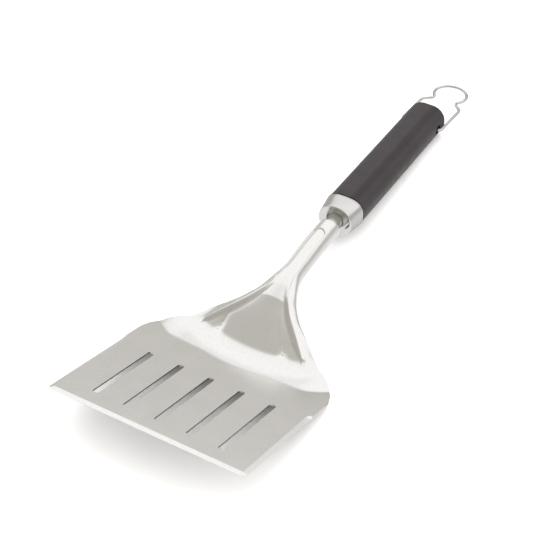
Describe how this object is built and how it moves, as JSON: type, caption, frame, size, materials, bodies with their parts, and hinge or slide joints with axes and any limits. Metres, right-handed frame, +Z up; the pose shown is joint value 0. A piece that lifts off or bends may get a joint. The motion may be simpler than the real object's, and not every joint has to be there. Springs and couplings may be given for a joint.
{
  "type": "grill spatula",
  "caption": "Wide slotted steel turner: sloping heel rolled into a neck, round shaft, ferrule, oval soft grip and a keyhole wire loop that swings on the grip end.",
  "frame": {"origin": "middle of the underside of the object's box, on the surface it lies on", "axes": "+Y from the blade's raised front edge to the hanging loop, +X across the blade, +Z up"},
  "size_m": [0.1452, 0.4556, 0.0439],
  "materials": {
    "brushed_sheet": "satin",
    "turned_tube": "brushed round the axis",
    "plain_steel": "as machined",
    "polished_metal": "polished",
    "bright_wire": "bright drawn",
    "soft_grip": "matte, soft touch",
    "black_rubber": "matte",
    "core_plastic": "matte moulded"
  },
  "bodies": {
    "spatula": {"turner_blade": "brushed_sheet", "neck_weld": "brushed_sheet", "shaft_tube": "turned_tube", "shaft_bush": "plain_steel", "tie_rod": "plain_steel", "ferrule": "polished_metal", "seal_ring": "black_rubber", "grip_core": "core_plastic", "grip_sleeve": "soft_grip", "lock_washer": "plain_steel", "lock_nut": "plain_steel", "end_plug": "core_plastic"},
    "loop": {"hanging_loop": "bright_wire"}
  },
  "joints": [
    {"name": "loop_swing", "type": "hinge", "parent": "spatula", "child": "loop", "pos_m": [0, 0.15958, 0.01283], "axis": [1, 0, 0], "range_deg": [-154, 162]}
  ]
}
